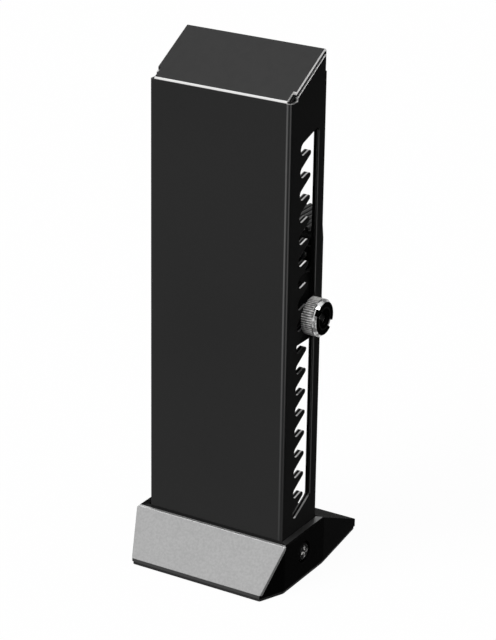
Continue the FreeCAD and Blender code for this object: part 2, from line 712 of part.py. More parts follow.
def rib_section(half, depth):
    """Pad seen from its end: a thin base with ribs whose crowns are chamfered."""
    top = PAD_Z + PAD_BASE + RIB_HEIGHT
    groove = PAD_Z + PAD_BASE
    count = int((2 * half - RIB_WIDTH) // RIB_PITCH) + 1
    first = -RIB_PITCH * (count - 1) / 2
    corners = [(-half, PAD_Z), (half, PAD_Z), (half, groove)]
    crown = RIB_WIDTH * RIB_CROWN_SHARE
    for step in reversed(range(count)):
        right = first + RIB_PITCH * step + RIB_WIDTH / 2
        left = right - RIB_WIDTH
        corners += [(right, groove), (right, top - crown), (right - crown, top)]
        corners += [(left + crown, top), (left, top - crown), (left, groove)]
    corners += [(-half, groove)]
    return prism("xz", corners, *depth)


def arm_pad():
    """Ribbed rubber pad that meets the card."""
    start = PLATE_Y + SHELF_BEND
    tip = PLATE_Y + SHELF_REACH - PAD_SETBACK
    ribs = rib_section(SHELF_HALF - PAD_SETBACK, (start, tip))
    top = PAD_Z + PAD_BASE + RIB_HEIGHT
    return ribs.common(prism("xy", shelf_plan(PAD_SETBACK), PAD_Z, top))


def lock_rod():
    """Cross rod with a low head on the left."""
    head = -WASHER_OUTER_X
    face = head - ROD_HEAD_HEIGHT
    end = KNOB_X + KNOB_LENGTH - KNOB_SLOT_DEPTH
    slant = ROD_HEAD_HEIGHT / 2
    corners = [(face, 0), (face, ROD_HEAD_RADIUS - slant), (face + slant, ROD_HEAD_RADIUS)]
    corners += [(head, ROD_HEAD_RADIUS), (head, ROD_RADIUS), (end, ROD_RADIUS), (end, 0)]
    rod = turned(corners, ROD_Y, ROD_Z)
    return rod.cut(drive_recess(face, ROD_Y, ROD_Z, -1))


def rod_washer_right():
    """Flat washer between the wall and the knob."""
    low = HALF + WASHER_GAP
    bore = ROD_RADIUS + HOLE_FIT
    corners = [(low, bore), (WASHER_OUTER_X, bore), (WASHER_OUTER_X, WASHER_RADIUS)]
    corners += [(low, WASHER_RADIUS)]
    return turned(corners, ROD_Y, ROD_Z)


def knurled_bar(low, high):
    """Bar with straight grooves all round."""
    points = []
    for step in range(2 * KNURL_COUNT):
        radius = KNOB_RADIUS - KNURL_DEPTH * (step % 2)
        points.append(on_circle(0, 0, radius, 180.0 * step / KNURL_COUNT))
    face = Part.Face(Part.makePolygon(points + points[:1]))
    face.translate(V(low, 0, 0))
    return face.extrude(V(high - low, 0, 0))


def thumb_knob():
    """Thumb knob: knurled grip over the washer, plain rim, and a slot across its face."""
    face = KNOB_X + KNOB_LENGTH
    shoulder = face - KNOB_CHAMFER_LENGTH
    grip_end = shoulder - KNOB_RIM
    seat = WASHER_OUTER_X + KNOB_GAP
    bore = ROD_RADIUS + KNOB_BORE_FIT
    recess = WASHER_RADIUS + KNOB_RECESS_FIT
    corners = [(seat, bore), (seat, recess), (KNOB_X, recess), (KNOB_X, KNOB_RADIUS)]
    corners += [(shoulder, KNOB_RADIUS), (face, KNOB_RADIUS - KNOB_CHAMFER), (face, bore)]
    rim = cross_pin(KNOB_RADIUS, grip_end, face, 0, 0)
    knob = turned(corners).common(knurled_bar(KNOB_X, grip_end).fuse(rim))
    slot = Part.makeBox(KNOB_SLOT_DEPTH, 4 * KNOB_RADIUS, KNOB_SLOT_WIDTH)
    slot.translate(V(face - KNOB_SLOT_DEPTH, -2 * KNOB_RADIUS, -KNOB_SLOT_WIDTH / 2))
    slot.rotate(V(0, 0, 0), V(1, 0, 0), KNOB_SLOT_ANGLE)
    knob = knob.cut(slot)
    knob.translate(V(0, ROD_Y, ROD_Z))
    return knob


def all_nodes():
    """Every piece by its name."""
    nodes = {
        "column_cover": column_cover(),
        "column_frame": column_frame(),
        "base_housing": base_housing(),
        "base_front_plate": base_front_plate(),
        "base_weight_plate": base_weight_plate(),
        "base_plate_screws": base_plate_screws(),
        "rubber_sole": rubber_sole(),
        "side_screw_right": side_screw_right(),
        "side_screw_left": mirrored(side_screw_right()),
        "side_nut_right": side_nut_right(),
        "side_nut_left": mirrored(side_nut_right()),
        "arm_carriage": arm_carriage(),
        "arm_shelf": arm_shelf(),
        "arm_rivets": arm_rivets(),
        "arm_pad": arm_pad(),
        "lock_rod": lock_rod(),
        "rod_washer_right": rod_washer_right(),
        "rod_washer_left": mirrored(rod_washer_right()),
        "thumb_knob": thumb_knob(),
    }
    for name, (x, y) in magnet_places().items():
        nodes[name] = disc(x, y, MAGNET_RADIUS)
    return nodes


def write_steps():
    """One STEP file for each piece."""
    os.makedirs("parts", exist_ok=True)
    for name, shape in all_nodes().items():
        shape.exportStep(os.path.join("parts", name + ".step"))
        box = shape.BoundBox
        print("%-18s solids %d volume %8.1f valid %s  x %.2f..%.2f  y %.2f..%.2f  z %.2f..%.2f"
              % (name, len(shape.Solids), shape.Volume, shape.isValid(), box.XMin, box.XMax,
                 box.YMin, box.YMax, box.ZMin, box.ZMax))


write_steps()
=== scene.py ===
import json
import math

import bpy
from mathutils import Matrix, Vector

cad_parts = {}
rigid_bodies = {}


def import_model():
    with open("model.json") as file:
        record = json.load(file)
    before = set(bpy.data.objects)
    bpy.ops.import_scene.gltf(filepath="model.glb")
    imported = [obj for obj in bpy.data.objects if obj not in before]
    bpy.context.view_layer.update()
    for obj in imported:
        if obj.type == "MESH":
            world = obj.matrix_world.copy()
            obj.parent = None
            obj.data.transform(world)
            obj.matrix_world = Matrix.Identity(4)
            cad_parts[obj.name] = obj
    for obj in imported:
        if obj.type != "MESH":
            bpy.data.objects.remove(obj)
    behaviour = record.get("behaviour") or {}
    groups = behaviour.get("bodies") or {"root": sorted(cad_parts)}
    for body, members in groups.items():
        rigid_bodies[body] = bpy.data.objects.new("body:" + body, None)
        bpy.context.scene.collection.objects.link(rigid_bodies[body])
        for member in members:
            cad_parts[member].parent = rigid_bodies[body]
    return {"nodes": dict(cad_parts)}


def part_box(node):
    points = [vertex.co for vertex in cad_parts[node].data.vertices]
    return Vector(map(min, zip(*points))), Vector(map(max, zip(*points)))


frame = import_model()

for spare in [o for o in bpy.data.objects if o.name in ("Cube", "Light", "Camera")]:
    bpy.data.objects.remove(spare)
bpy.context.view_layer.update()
NODES = frame["nodes"]
MM = 0.001

# Camera, as the photograph was taken
CAMERA_AZIMUTH = 30.77
CAMERA_ELEVATION = 22.0
CAMERA_ROLL = 0.87
CAMERA_DISTANCE = 0.9336
CAMERA_TARGET = Vector((0.005923, 0, 0.101243))
LENS_MM = 139.34
SENSOR_MM = 36.0

# Lamps: directions lead from the part to the lamp, angles are the lamps' widths in degrees.
# The shade level is the room's own light, and the floor returns as much as its shade colour.
KEY_DIRECTION = Vector((-0.35, -0.7, 0.6))
KEY_STRENGTH = 2.95
KEY_ANGLE = 40.0
SOFTBOX_DIRECTION = Vector((0.05, -0.02, 0.9))
SOFTBOX_STRENGTH = 1.4
SOFTBOX_ANGLE = 40.0
CARD_DIRECTION = Vector((0.64, -0.22, 0.74))
CARD_STRENGTH = 1.9
CARD_ANGLE = 34.0
SHADE_LEVEL = 0.07
FLOOR_SIZE = 8.0
FLOOR_SHADE_COLOR = 0.06
FLOOR_SEEN_COLOR = 0.8
FLOOR_GLOW_SHARE = 0.965

# Column: its half width, its front and the sheets' thicknesses
COLUMN_LOW, COLUMN_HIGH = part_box("column_cover")
HALF = COLUMN_HIGH.x
FRONT = COLUMN_LOW.y
SHEET = 1.0 * MM
FRAME_SHEET = 1.3 * MM
FRAME_INNER = HALF - SHEET - FRAME_SHEET
BEND_START = HALF - 1.2 * MM
# Heights over which the painted highlight lines along the bend fade in
BEND_HIGHLIGHT_FADE_LOW = 10.0 * MM
BEND_HIGHLIGHT_FADE_HIGH = 140.0 * MM

# Sloped top: its front corner, its bend and the relief notches beside it
TOP_SLOPE = math.radians(30)
FRONT_HEIGHT = 193.7 * MM
FLANGE_FOOT = 190.0 * MM
RELIEF_REAR = FRONT + 4.7 * MM
SLOPE_NORMAL = Vector((0, -math.sin(TOP_SLOPE), math.cos(TOP_SLOPE)))
TOP_FRONT_CORNER = Vector((0, FRONT, FRONT_HEIGHT))
# Turn of the bend faces that carry the painted highlight line
BEND_TURN_LOW, BEND_TURN_HIGH = 8.0, 50.0

# Toothed slots, and the heights between which the teeth are rubbed most
SLOT_FRONT = -5.0 * MM
SLOT_REAR = 8.3 * MM
RUBBED_TEETH = (95.0 * MM, 108.0 * MM, 134.0 * MM, 142.0 * MM)

# Foot: the height of its level rim and of its low front edge
RIM_HEIGHT = 19.0 * MM
LIP_HEIGHT = 2.7 * MM

# Side screws
SCREW_LOW, SCREW_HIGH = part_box("side_screw_right")
SCREW_CENTRE = (SCREW_LOW + SCREW_HIGH) / 2
SCREW_FACE = SCREW_HIGH.x
SCREW_SEAT = SCREW_FACE - 1.5 * MM
RECESS_REACH = 2.2 * MM

# Thumb knob
KNOB_LOW, KNOB_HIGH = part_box("thumb_knob")
KNOB_CENTRE = (KNOB_LOW + KNOB_HIGH) / 2
KNOB_RADIUS = KNOB_HIGH.z - KNOB_CENTRE.z
KNOB_FACE_RADIUS = KNOB_RADIUS - 0.95 * MM
KNOB_RIM_START = KNOB_HIGH.x - 1.7 * MM
# Radii of a lighter ring painted on the knob's face as the highlight of a turned ridge
KNOB_HIGHLIGHT_RING = (3.7 * MM, 3.9 * MM, 4.4 * MM, 4.7 * MM)

# A face looks along an axis when that share of its normal is above FACING
FACING = 0.9


def place(tree, kind, inputs=None, **settings):
    """New shader node; inputs hold constants or the sockets that feed them."""
    node = tree.nodes.new(kind)
    for key, value in settings.items():
        setattr(node, key, value)
    for key, value in (inputs or {}).items():
        if isinstance(value, bpy.types.NodeSocket):
            tree.links.new(value, node.inputs[key])
        else:
            node.inputs[key].default_value = value
    return node


def maths(tree, operation, first, second=0.0, clamp=False):
    """Result of a math node."""
    node = place(tree, "ShaderNodeMath", {0: first, 1: second},
                 operation=operation, use_clamp=clamp)
    return node.outputs[0]


def smooth_step(tree, value, low, high, out_low=0.0, out_high=1.0):
    """Value spread smoothly from one range to another."""
    node = place(tree, "ShaderNodeMapRange",
                 {"Value": value, "From Min": low, "From Max": high,
                  "To Min": out_low, "To Max": out_high}, interpolation_type="SMOOTHSTEP")
    return node.outputs["Result"]


def band(tree, value, rise, top, end, fall):
    """Mask that is 1 between two values and falls off smoothly on both sides."""
    return maths(tree, "MULTIPLY", smooth_step(tree, value, rise, top),
                 smooth_step(tree, value, end, fall, 1.0, 0.0))


def mix_colors(tree, share, first, second):
    """Two colours mixed by a share."""
    node = place(tree, "ShaderNodeMix", data_type="RGBA")
    for socket, value in zip((node.inputs[0], node.inputs[6], node.inputs[7]),
                             (share, first, second)):
        if isinstance(value, bpy.types.NodeSocket):
            tree.links.new(value, socket)
        else:
            socket.default_value = value
    return node.outputs[2]


def vector_maths(tree, operation, first, second=None):
    """Outputs of a vector math node."""
    inputs = {0: first} if second is None else {0: first, 1: second}
    return place(tree, "ShaderNodeVectorMath", inputs, operation=operation).outputs


def split(tree, vector):
    """The X, Y and Z of a vector."""
    return place(tree, "ShaderNodeSeparateXYZ", {0: vector}).outputs


def grey(level, warmth=0.0):
    """Grey colour with a slight warm or cool cast."""
    return (level * (1 + warmth), level, level * (1 - warmth), 1)


def new_group(name, inputs, outputs):
    """Shader group with the given sockets, and its input and output nodes."""
    tree = bpy.data.node_groups.new(name, "ShaderNodeTree")
    for label, default in inputs.items():
        socket = tree.interface.new_socket(label, in_out="INPUT", socket_type="NodeSocketFloat")
        socket.default_value = default
    for label, kind in outputs.items():
        tree.interface.new_socket(label, in_out="OUTPUT", socket_type="NodeSocket" + kind)
    start = tree.nodes.new("NodeGroupInput").outputs
    end = tree.nodes.new("NodeGroupOutput").inputs
    return tree, start, end


def object_point(tree):
    """Position in the piece's own frame."""
    return place(tree, "ShaderNodeTexCoord").outputs["Object"]


def object_normal(tree):
    """Normal in the piece's own frame."""
    return place(tree, "ShaderNodeTexCoord").outputs["Normal"]


def noise(tree, point, scale, detail, roughness=0.5):
    """Noise value at a point."""
    node = place(tree, "ShaderNodeTexNoise", {"Vector": point, "Scale": scale,
                                              "Detail": detail, "Roughness": roughness})
    return node.outputs["Fac"]


def fine_grain_group():
    """Fine speckle of a powder coat or a moulded skin, with a slow drift of tone."""
    tree, start, end = new_group("fine_grain", {"Scale": 2500.0, "Drift Scale": 35.0},
                                 {"Height": "Float", "Tone": "Float"})
    point = object_point(tree)
    speckle = noise(tree, point, start["Scale"], 2.0, 0.6)
    drift = noise(tree, point, start["Drift Scale"], 2.0, 0.4)
    tree.links.new(speckle, end["Height"])
    tone = maths(tree, "ADD", maths(tree, "MULTIPLY", speckle, 0.5),
                 maths(tree, "MULTIPLY", drift, 0.5))
    tree.links.new(tone, end["Tone"])
    return tree


def rounded_edges_group():
    """Normal that runs smoothly round sharp edges."""
    tree, start, end = new_group("rounded_edges", {"Radius": 0.0002}, {"Normal": "Vector"})
    bevel = place(tree, "ShaderNodeBevel", {"Radius": start["Radius"]}, samples=6)
    tree.links.new(bevel.outputs["Normal"], end["Normal"])
    return tree


def edge_wear_and_highlight_group():
    """Mask of edges that are worn and given a painted highlight: where the rounded normal leaves
    the true one, broken up by noise.
    """
    tree, start, end = new_group("edge_wear_and_highlight", {"Radius": 0.0003, "Breakup Scale": 400.0},
                                 {"Mask": "Float"})
    bevel = place(tree, "ShaderNodeBevel", {"Radius": start["Radius"]}, samples=6)
    true_normal = place(tree, "ShaderNodeNewGeometry").outputs["True Normal"]
    dot = vector_maths(tree, "DOT_PRODUCT", bevel.outputs["Normal"], true_normal)["Value"]
    bend = smooth_step(tree, maths(tree, "SUBTRACT", 1.0, dot), 0.03, 0.25)
    breakup = smooth_step(tree, noise(tree, object_point(tree), start["Breakup Scale"], 4.0),
                          0.3, 0.62, 0.35, 1.0)
    tree.links.new(maths(tree, "MULTIPLY", bend, breakup), end["Mask"])
    return tree


def brush_lines_group():
    """Fine lines drawn along X, as a brushed metal has."""
    tree, start, end = new_group("brush_lines", {"Scale": 1.0},
                                 {"Height": "Float", "Tone": "Float"})
    stretched = vector_maths(tree, "MULTIPLY", object_point(tree), (90.0, 5200.0, 5200.0))
    scaled = place(tree, "ShaderNodeVectorMath", {0: stretched[0], 3: start["Scale"]},
                   operation="SCALE")
    lines = noise(tree, scaled.outputs[0], 1.0, 5.0, 0.65)
    tree.links.new(lines, end["Height"])
    blotches = noise(tree, object_point(tree), 70.0, 2.0, 0.5)
    tone = maths(tree, "ADD", maths(tree, "MULTIPLY", lines, 0.7),
                 maths(tree, "MULTIPLY", blotches, 0.3))
    tree.links.new(tone, end["Tone"])
    return tree


def dust_and_top_light_group():
    """Mask of faces that look up: settled dust, and painted top light that lightens them as if lit
    from above.
    """
    tree, start, end = new_group("dust_and_top_light", {"Steepness": 0.5}, {"Mask": "Float"})
    upward = split(tree, object_normal(tree))["Z"]
    up = place(tree, "ShaderNodeMapRange", {"Value": upward, "From Min": start["Steepness"],
                                            "From Max": 1.0, "To Min": 0.0, "To Max": 1.0})
    patches = smooth_step(tree, noise(tree, object_point(tree), 260.0, 5.0), 0.25, 0.7, 0.75, 1.0)
    tree.links.new(maths(tree, "MULTIPLY", up.outputs["Result"], patches), end["Mask"])
    return tree


GROUPS = {
    "fine_grain": fine_grain_group(),
    "rounded_edges": rounded_edges_group(),
    "edge_wear_and_highlight": edge_wear_and_highlight_group(),
    "brush_lines": brush_lines_group(),
    "dust_and_top_light": dust_and_top_light_group(),
}


def effect(tree, name, **values):
    """Outputs of a shared effect, placed in a material with its own values."""
    inputs = {label.replace("_", " "): value for label, value in values.items()}
    node = place(tree, "ShaderNodeGroup", node_tree=GROUPS[name])
    for label, value in inputs.items():
        node.inputs[label].default_value = value
    return node.outputs


def new_finish(name, **constants):
    """Material with constants on its shader; returns it, its nodes and the shader's inputs."""
    material = bpy.data.materials.new(name)
    material.use_nodes = True
    tree = material.node_tree
    shader = tree.nodes["Principled BSDF"]
    for label, value in constants.items():
        shader.inputs[label.replace("_", " ")].default_value = value
    return material, tree, shader.inputs


def bump(tree, height, strength, distance, normal):
    """A normal bumped by a height."""
    node = place(tree, "ShaderNodeBump", {"Height": height, "Strength": strength,
                                          "Distance": distance, "Normal": normal})
    return node.outputs["Normal"]


def worn_and_highlit_edges(tree, base, radius, breakup, share, level):
    """Base colour with edges worn and painted lighter as highlights, towards a lighter grey."""
    wear_and_highlight = effect(tree, "edge_wear_and_highlight", Radius=radius, Breakup_Scale=breakup)
    return mix_colors(tree, maths(tree, "MULTIPLY", wear_and_highlight["Mask"], share), base, grey(level))


def set_roughness(tree, shader, tone, low, high):
    """Roughness that follows the tone of the surface."""
    tree.links.new(smooth_step(tree, tone, 0.2, 0.8, low, high), shader["Roughness"])


def set_relief(tree, shader, height, strength, depth, rounding):
    """Fine relief over edges that look rounded."""
    edges = effect(tree, "rounded_edges", Radius=rounding)
    tree.links.new(bump(tree, height, strength, depth, edges["Normal"]), shader["Normal"])


def powder_coat():
    """Matte black coat of the cover, with painted highlight lines along the bend on the knob's
    side, fainter towards the foot.
    """
    material, tree, shader = new_finish("black_powder_coat", Specular_IOR_Level=0.004)
    grain = effect(tree, "fine_grain", Scale=2600.0, Drift_Scale=14.0)
    skin = mix_colors(tree, grain["Tone"], grey(0.024), grey(0.038))
    # Up-facing faces made lighter: partly dust, partly painted top light.
    dust_and_top_light_mask = effect(tree, "dust_and_top_light", Steepness=0.6)
    base = mix_colors(tree, maths(tree, "MULTIPLY", dust_and_top_light_mask["Mask"], 0.45), skin, grey(0.06))
    point = split(tree, object_point(tree))
    normal = split(tree, object_normal(tree))
    # Two thin lighter lines at the front-right bend are painted highlights.
    at_bend = band(tree, point["X"], BEND_START - 0.9 * MM, BEND_START - 0.55 * MM,
                   BEND_START - 0.25 * MM, BEND_START + 0.1 * MM)
    in_front = smooth_step(tree, normal["Y"], -0.95, -0.9, 1.0, 0.0)
    first_bend_highlight = maths(tree, "MULTIPLY", at_bend, in_front)
    second_bend_highlight = band(tree, normal["X"], 0.45, 0.6, 0.76, 0.88)
    both_bend_highlights = maths(tree, "MAXIMUM", first_bend_highlight, maths(tree, "MULTIPLY", second_bend_highlight, 0.62))
    lines = maths(tree, "MULTIPLY", both_bend_highlights,
                  smooth_step(tree, point["Z"], BEND_HIGHLIGHT_FADE_LOW, BEND_HIGHLIGHT_FADE_HIGH, 0.32, 1.0))
    lined = mix_colors(tree, lines, base, grey(0.115))
    tree.links.new(lines, shader["Metallic"])
    # Edges made lighter: partly wear, partly painted edge highlights.
    worn = worn_and_highlit_edges(tree, lined, 0.22 * MM, 300.0, 0.55, 0.2)
    tree.links.new(worn, shader["Base Color"])
    set_roughness(tree, shader, grain["Tone"], 0.46, 0.6)
    set_relief(tree, shader, grain["Height"], 0.25, 0.04 * MM, 0.15 * MM)
    return material


def satin_coat(name, dark, light, wear_and_highlight_level):
    """Smoother black coat of the inner frame and the arm."""
    material, tree, shader = new_finish(name, Specular_IOR_Level=0.005)
    grain = effect(tree, "fine_grain", Scale=1900.0, Drift_Scale=30.0)
    base = mix_colors(tree, grain["Tone"], grey(dark), grey(light))
    # Edges made lighter: partly wear, partly painted edge highlights.
    worn = worn_and_highlit_edges(tree, base, 0.25 * MM, 350.0, 0.5, wear_and_highlight_level)
    tree.links.new(worn, shader["Base Color"])
    set_roughness(tree, shader, grain["Tone"], 0.36, 0.48)
    set_relief(tree, shader, grain["Height"], 0.2, 0.03 * MM, 0.2 * MM)
    return material


def steel(name, dark, light, rough, lines):
    """Bare or plated steel with faint tool lines."""
    material, tree, shader = new_finish(name, Metallic=1.0)
    brush = effect(tree, "brush_lines", Scale=lines)
    tree.links.new(mix_colors(tree, brush["Tone"], grey(dark), grey(light, 0.01)),
                   shader["Base Color"])
    set_roughness(tree, shader, brush["Tone"], rough - 0.06, rough + 0.08)
    set_relief(tree, shader, brush["Height"], 0.15, 0.02 * MM, 0.12 * MM)
    return material


def slot_cut(name, coat, low, high, metal, rubbed, rounding=0.12 * MM):
    """Cut edge in a slot: coat at its corners, worn metal between two distances from the middle.

    The second metal level is for the teeth that the rod rests in most often.
    """
    material, tree, shader = new_finish(name, Specular_IOR_Level=0.012)
    point = split(tree, object_point(tree))
    worn = band(tree, maths(tree, "ABSOLUTE", point["X"]), low - 0.1 * MM, low + 0.05 * MM,
                high - 0.1 * MM, high)
    in_use = band(tree, point["Z"], *RUBBED_TEETH)
    brush = effect(tree, "brush_lines", Scale=1.4)
    painted, plain, shiny = (
        mix_colors(tree, brush["Tone"], grey(level * 0.8), grey(level * 1.2, warmth))
        for level, warmth in ((coat, 0.0), (metal, 0.01), (rubbed, 0.01)))
    bare = mix_colors(tree, in_use, plain, shiny)
    tree.links.new(mix_colors(tree, worn, painted, bare), shader["Base Color"])
    tree.links.new(worn, shader["Metallic"])
    set_roughness(tree, shader, brush["Tone"], 0.28, 0.42)
    set_relief(tree, shader, brush["Height"], 0.15, 0.02 * MM, rounding)
    return material


def moulded_plastic():
    """Fine-grained black skin of the foot, a little lighter where it looks up, from dust and
    painted top light.
    """
    material, tree, shader = new_finish("black_moulded_plastic", Specular_IOR_Level=0.002)
    grain = effect(tree, "fine_grain", Scale=1700.0, Drift_Scale=40.0)
    base = mix_colors(tree, grain["Tone"], grey(0.003), grey(0.006))
    # Up-facing faces made lighter: partly dust, partly painted top light.
    dust_and_top_light_mask = effect(tree, "dust_and_top_light", Steepness=0.5)
    dusted_and_top_lit = mix_colors(tree, maths(tree, "MULTIPLY", dust_and_top_light_mask["Mask"], 0.5), base, grey(0.008))
    # Edges made lighter: partly wear, partly painted edge highlights.
    worn = worn_and_highlit_edges(tree, dusted_and_top_lit, 0.3 * MM, 250.0, 0.35, 0.06)
    tree.links.new(worn, shader["Base Color"])
    set_roughness(tree, shader, grain["Tone"], 0.5, 0.64)
    set_relief(tree, shader, grain["Height"], 0.3, 0.05 * MM, 0.3 * MM)
    return material


def glossy_skin(name, specular, dark, light):
    """Smoother skin of the foot's front lip and of the rim round the column."""
    material, tree, shader = new_finish(name, Specular_IOR_Level=specular)
    grain = effect(tree, "fine_grain", Scale=1200.0, Drift_Scale=60.0)
    tree.links.new(mix_colors(tree, grain["Tone"], grey(dark), grey(light)),
                   shader["Base Color"])
    set_roughness(tree, shader, grain["Tone"], 0.3, 0.42)
    return material


def brushed_plate():
    """Brushed silver plate, with a painted highlight along its top edge and dull on its side edges.
    """
    material, tree, shader = new_finish("brushed_silver_plate")
    brush = effect(tree, "brush_lines", Scale=0.6)
    grain = effect(tree, "fine_grain", Scale=1100.0, Drift_Scale=45.0)
    speckle = smooth_step(tree, grain["Height"], 0.3, 0.7)
    blasted = mix_colors(tree, speckle, grey(0.37), grey(0.455))
    lined = mix_colors(tree, brush["Tone"], grey(0.36), grey(0.53))
    base = mix_colors(tree, 0.35, blasted, lined)
    turned = split(tree, effect(tree, "rounded_edges", Radius=0.6 * MM)["Normal"])
    side_edge = smooth_step(tree, maths(tree, "ABSOLUTE", turned["X"]), 0.3, 0.8)
    # Pale band along the top edge is a painted highlight.
    top_edge_highlight = band(tree, turned["Z"], 0.56, 0.7, 0.8, 1.1)
    sided = mix_colors(tree, side_edge, base, grey(0.11))
    tree.links.new(mix_colors(tree, top_edge_highlight, sided, grey(0.6)), shader["Base Color"])
    tree.links.new(smooth_step(tree, top_edge_highlight, 0.0, 1.0, 1.0, 0.1), shader["Metallic"])
    set_roughness(tree, shader, brush["Tone"], 0.34, 0.5)
    set_relief(tree, shader, grain["Height"], 0.2, 0.04 * MM, 0.3 * MM)
    return material


def rubber(name, dark, light):
    """Matte rubber with a fine pitted skin."""
    material, tree, shader = new_finish(name, Specular_IOR_Level=0.15)
    grain = effect(tree, "fine_grain", Scale=1500.0, Drift_Scale=90.0)
    base = mix_colors(tree, grain["Tone"], grey(dark), grey(light))
    # Rib ends and edges made lighter: mostly painted highlights, partly wear.
    worn = worn_and_highlit_edges(tree, base, 0.3 * MM, 500.0, 0.4, light * 3)
    tree.links.new(worn, shader["Base Color"])
    set_roughness(tree, shader, grain["Tone"], 0.6, 0.75)
    set_relief(tree, shader, grain["Height"], 0.4, 0.05 * MM, 0.2 * MM)
    return material


def black_oxide():
    """Blackened screw steel, its edges worn bright by a driver and painted lighter as glints."""
    material, tree, shader = new_finish("black_oxide_steel", Specular_IOR_Level=0.004)
    brush = effect(tree, "brush_lines", Scale=1.1)
    base = mix_colors(tree, brush["Tone"], grey(0.008), grey(0.024))
    # Edges painted bright as glints, partly wear.
    wear_and_highlight = effect(tree, "edge_wear_and_highlight", Radius=0.25 * MM, Breakup_Scale=900.0)
    tree.links.new(mix_colors(tree, wear_and_highlight["Mask"], base, grey(0.7)), shader["Base Color"])
    tree.links.new(smooth_step(tree, wear_and_highlight["Mask"], 0.0, 1.0, 0.05, 1.0), shader["Metallic"])
    set_roughness(tree, shader, brush["Tone"], 0.25, 0.4)
    set_relief(tree, shader, brush["Height"], 0.15, 0.02 * MM, 0.15 * MM)
    return material


def knob_metal():
    """Nickel of the knob: painted shade down in its knurl, patchy at its rim, and a painted dark
    reflection on its face with a painted highlight ring.
    """
    material, tree, shader = new_finish("thumb_knob_nickel", Specular_IOR_Level=0.0)
    point = object_point(tree)
    away = vector_maths(tree, "SUBTRACT", point, (0, KNOB_CENTRE.y, KNOB_CENTRE.z))
    flat = vector_maths(tree, "MULTIPLY", away[0], (0, 1, 1))
    radius = vector_maths(tree, "LENGTH", flat[0])["Value"]
    grain = effect(tree, "fine_grain", Scale=900.0, Drift_Scale=220.0)
    outside = smooth_step(tree, radius, KNOB_FACE_RADIUS, KNOB_FACE_RADIUS + 0.1 * MM)
    crest = smooth_step(tree, radius, KNOB_RADIUS - 0.34 * MM, KNOB_RADIUS - 0.16 * MM)
    at_rim = smooth_step(tree, split(tree, point)["X"], KNOB_RIM_START,
                         KNOB_RIM_START + 0.1 * MM)
    shine = maths(tree, "MULTIPLY", outside, smooth_step(tree, at_rim, 0.0, 1.0, 0.15, 1.0))
    patches = smooth_step(tree, noise(tree, point, 520.0, 2.0), 0.4, 0.6)
    silver = mix_colors(tree, patches, grey(0.6, 0.01), grey(0.98, 0.01))
    # The knurl's valleys painted dark as shade.
    knurl = mix_colors(tree, crest, grey(0.05), silver)
    rim = mix_colors(tree, patches, grey(0.13), grey(0.62))
    side = mix_colors(tree, at_rim, knurl, rim)
    # The face painted near-black as a dark reflection, with lighter edges.
    dark = mix_colors(tree, grain["Tone"], grey(0.004), grey(0.009))
    wear_and_highlight = effect(tree, "edge_wear_and_highlight", Radius=0.2 * MM, Breakup_Scale=500.0)
    # Lighter ring on the face is a painted highlight.
    turned = band(tree, radius, *KNOB_HIGHLIGHT_RING)
    rubbed = maths(tree, "MAXIMUM", wear_and_highlight["Mask"], maths(tree, "MULTIPLY", turned, 0.4))
    face = mix_colors(tree, maths(tree, "MULTIPLY", rubbed, 0.5), dark, grey(0.16))
    tree.links.new(mix_colors(tree, outside, face, side), shader["Base Color"])
    tree.links.new(shine, shader["Metallic"])
    set_roughness(tree, shader, grain["Tone"], 0.14, 0.26)
    set_relief(tree, shader, grain["Height"], 0.12, 0.02 * MM, 0.1 * MM)
    return material


# Finishes that several pieces share or that only some faces of a piece have
COVER_COAT = powder_coat()
FRAME_COAT = satin_coat("satin_frame_coat", 0.016, 0.024, 0.16)
ARM_COAT = satin_coat("satin_arm_coat", 0.014, 0.022, 0.14)
CUT_STEEL = steel("bare_cut_steel", 0.38, 0.58, 0.32, 1.4)
# Bright steel for the notch edges and screw recesses: partly wear, partly painted highlights and
# glints.
RUBBED_AND_HIGHLIGHT_STEEL = steel("rubbed_and_highlight_steel", 0.5, 1.0, 0.3, 1.2)
# The top bend's bright steel is a painted highlight line.
BEND_HIGHLIGHT_STEEL = steel("painted_bend_highlight", 0.66, 0.86, 0.4, 0.8)
SCREW_BLACK = black_oxide()
LIP_GLOSS = glossy_skin("black_lip_gloss", 0.5, 0.008, 0.014)
RIM_GLOSS = glossy_skin("black_rim_gloss", 1.0, 0.008, 0.014)
# The front rim's lighter colour is a painted sheen.
RIM_PAINTED_SHEEN = glossy_skin("black_rim_painted_sheen", 0.01, 0.01, 0.016)
# Bright metal on the teeth's up-facing faces: partly rod wear, partly painted highlight.
COVER_CUT = slot_cut("cover_slot_cut", 0.03, HALF - 0.9 * MM, HALF - 0.2 * MM, 0.42, 0.8)
COVER_REAR_CUT = slot_cut("cover_slot_rear_cut", 0.03, HALF - SHEET, HALF + SHEET, 0.08, 0.08,
                          0.8 * MM)
FRAME_CUT = slot_cut("frame_slot_cut", 0.02, FRAME_INNER, FRAME_INNER + 0.45 * MM, 0.18, 0.02)
FINISHES = {
    "column_cover": COVER_COAT,
    "column_frame": FRAME_COAT,
    "arm_carriage": ARM_COAT,
    "arm_shelf": ARM_COAT,
    "base_housing": moulded_plastic(),
    "base_front_plate": brushed_plate(),
    "base_weight_plate": steel("rolled_weight_steel", 0.28, 0.42, 0.42, 0.5),
    "base_plate_screws": steel("zinc_plate", 0.5, 0.64, 0.28, 0.9),
    "rubber_sole": rubber("sole_rubber", 0.022, 0.034),
    "arm_pad": rubber("pad_rubber", 0.055, 0.1),
    "arm_rivets": steel("rivet_steel", 0.5, 0.66, 0.3, 1.0),
    "lock_rod": steel("rod_zinc", 0.46, 0.62, 0.26, 0.7),
    "side_screw_right": SCREW_BLACK,
    "magnet_front_left": steel("magnet_nickel", 0.52, 0.68, 0.2, 0.4),
    "thumb_knob": knob_metal(),
}
